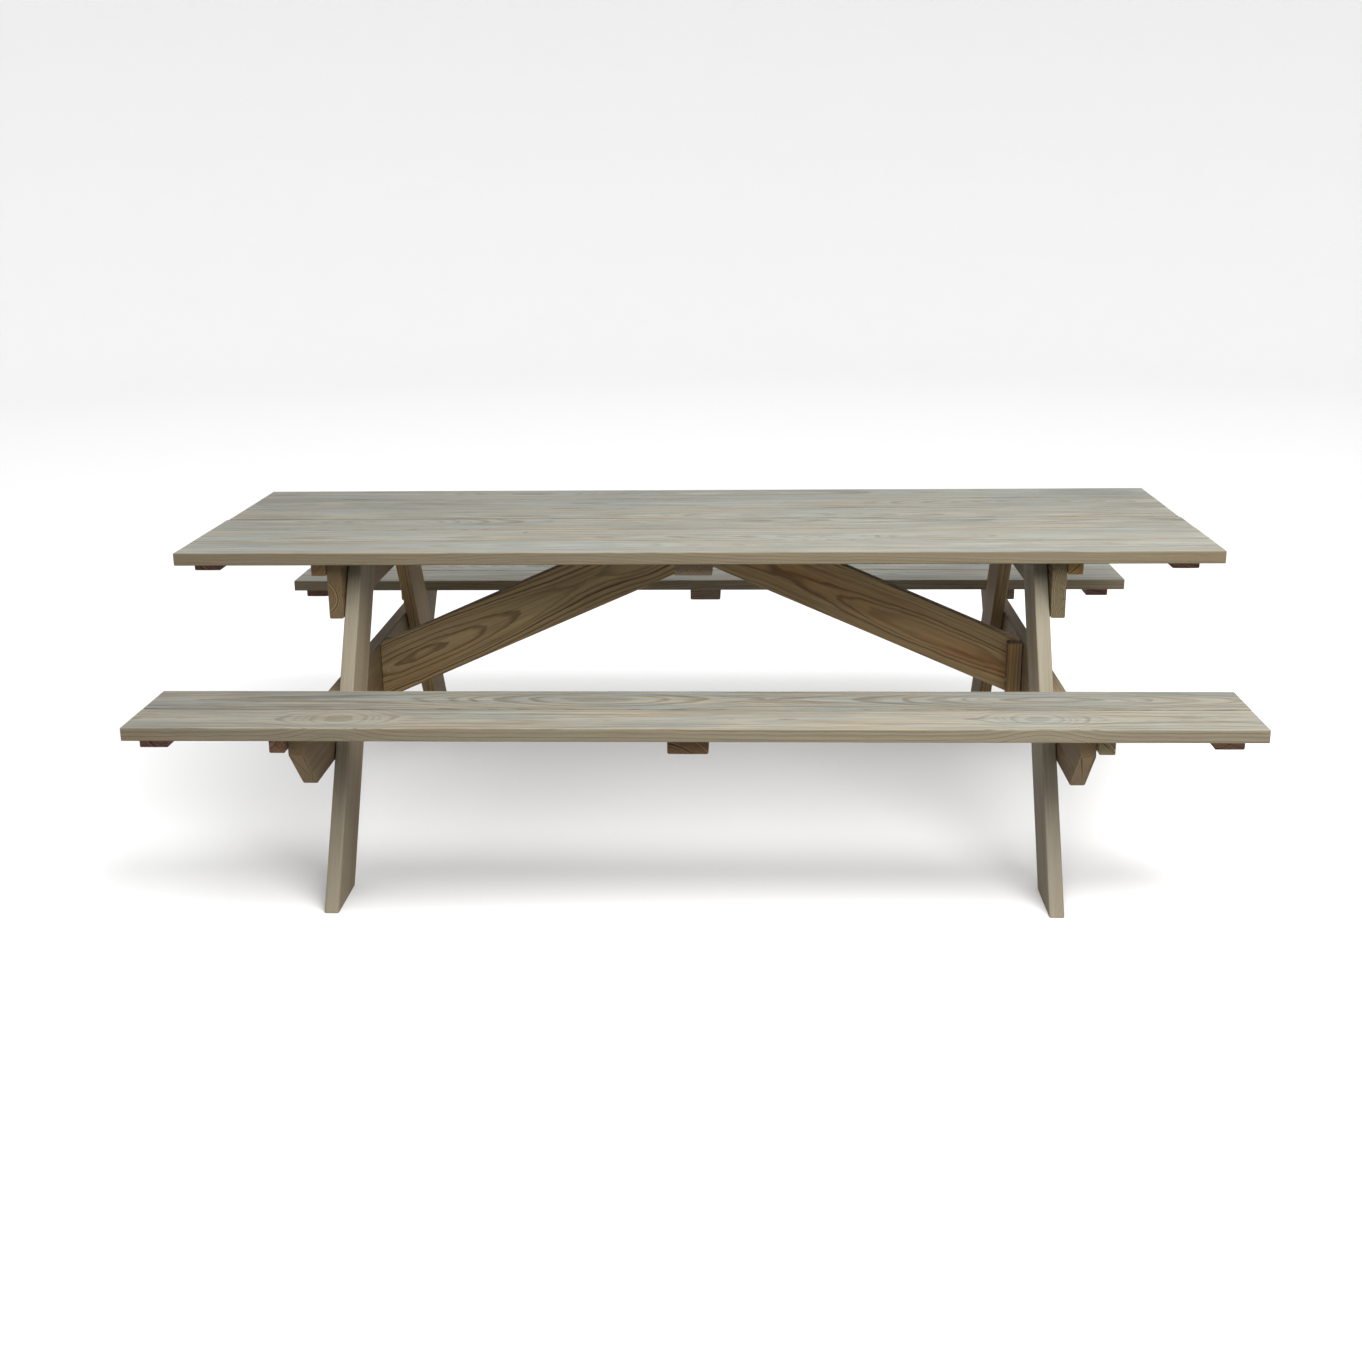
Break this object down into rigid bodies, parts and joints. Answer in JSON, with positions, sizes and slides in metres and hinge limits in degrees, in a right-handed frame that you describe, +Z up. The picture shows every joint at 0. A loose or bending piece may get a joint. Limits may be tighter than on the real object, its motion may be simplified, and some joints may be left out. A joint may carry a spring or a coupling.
{
  "type": "picnic table",
  "caption": "Timber picnic table on crossed legs, with a boarded top and attached benches carried on shared seat beams, stiffened by diagonal braces.",
  "frame": {"origin": "on the ground under the middle of the table", "axes": "+X along the boards, +Y from the front bench to the rear bench, +Z up"},
  "size_m": [2.438, 1.702, 0.768],
  "materials": {
    "deck_timber": "matt pressure-treated pine, pale grey-green on top",
    "frame_timber": "matt pressure-treated pine, olive brown with strong grain",
    "cleat_timber": "matt pressure-treated pine, reddish brown, sawn ends",
    "hardware": "dull galvanised"
  },
  "bodies": {
    "root": {"tabletop_board_1": "deck_timber", "tabletop_board_2": "deck_timber", "tabletop_board_3": "deck_timber", "tabletop_board_4": "deck_timber", "tabletop_board_5": "deck_timber", "tabletop_board_6": "deck_timber", "front_bench_board_inner": "deck_timber", "front_bench_board_outer": "deck_timber", "rear_bench_board_inner": "deck_timber", "rear_bench_board_outer": "deck_timber", "tabletop_cleat_left": "cleat_timber", "tabletop_cleat_right": "cleat_timber", "tabletop_cleat_centre": "cleat_timber", "tabletop_end_batten_left": "cleat_timber", "tabletop_end_batten_right": "cleat_timber", "front_bench_cleat_left": "cleat_timber", "front_bench_cleat_right": "cleat_timber", "front_bench_cleat_centre": "cleat_timber", "front_bench_end_batten_left": "cleat_timber", "front_bench_end_batten_right": "cleat_timber", "rear_bench_cleat_left": "cleat_timber", "rear_bench_cleat_right": "cleat_timber", "rear_bench_cleat_centre": "cleat_timber", "rear_bench_end_batten_left": "cleat_timber", "rear_bench_end_batten_right": "cleat_timber", "leg_front_left": "frame_timber", "leg_rear_left": "frame_timber", "top_crossmember_left": "frame_timber", "seat_beam_left": "frame_timber", "brace_left": "frame_timber", "brace_block_left": "cleat_timber", "coach_screw_front_left_top_upper": "hardware", "coach_screw_front_left_top_lower": "hardware", "coach_screw_front_left_seat_upper": "hardware", "coach_screw_front_left_seat_lower": "hardware", "coach_screw_rear_left_top_upper": "hardware", "coach_screw_rear_left_top_lower": "hardware", "coach_screw_rear_left_seat_upper": "hardware", "coach_screw_rear_left_seat_lower": "hardware", "brace_screw_left": "hardware", "brace_block_screw_left": "hardware", "leg_front_right": "frame_timber", "leg_rear_right": "frame_timber", "top_crossmember_right": "frame_timber", "seat_beam_right": "frame_timber", "brace_right": "frame_timber", "brace_block_right": "cleat_timber", "coach_screw_front_right_top_upper": "hardware", "coach_screw_front_right_top_lower": "hardware", "coach_screw_front_right_seat_upper": "hardware", "coach_screw_front_right_seat_lower": "hardware", "coach_screw_rear_right_top_upper": "hardware", "coach_screw_rear_right_top_lower": "hardware", "coach_screw_rear_right_seat_upper": "hardware", "coach_screw_rear_right_seat_lower": "hardware", "brace_screw_right": "hardware", "brace_block_screw_right": "hardware", "brace_lap_screw": "hardware"}
  },
  "joints": []
}
